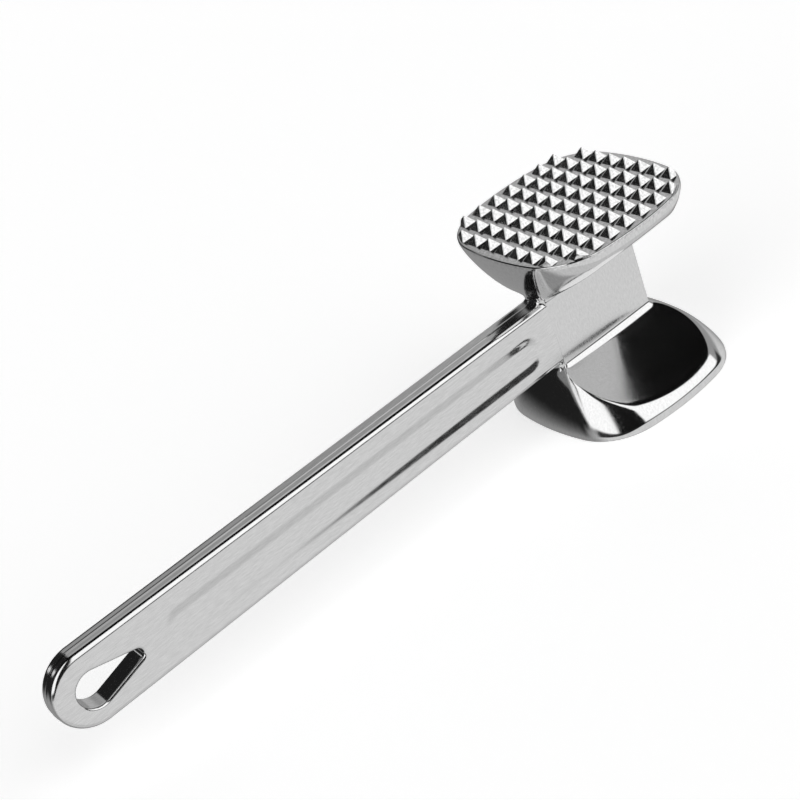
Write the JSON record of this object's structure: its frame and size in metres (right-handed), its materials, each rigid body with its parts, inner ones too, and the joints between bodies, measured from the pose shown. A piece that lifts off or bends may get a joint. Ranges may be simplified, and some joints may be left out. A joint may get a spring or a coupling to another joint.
{
  "type": "meat mallet",
  "caption": "Polished cast-metal meat mallet with a pyramid-toothed face, a smooth face, a flat neck and a fluted bar handle with a teardrop hanging hole.",
  "frame": {"origin": "centre of the smooth striking face", "axes": "+Z along the head from the smooth face to the teeth, +X from the handle towards the head, +Y across the handle's flat sides"},
  "size_m": [0.2394, 0.0622, 0.0672],
  "materials": {
    "handle": "mirror polished casting",
    "head": "mirror polished casting",
    "tooth_plate": "bright cast teeth, lightly polished",
    "smooth_plate": "mirror polished, faintly scratched by use"
  },
  "bodies": {
    "root": {"handle": "handle", "neck": "head", "toothed_head": "head", "smooth_head": "head", "tooth_plate": "tooth_plate", "smooth_plate": "smooth_plate"}
  },
  "joints": []
}
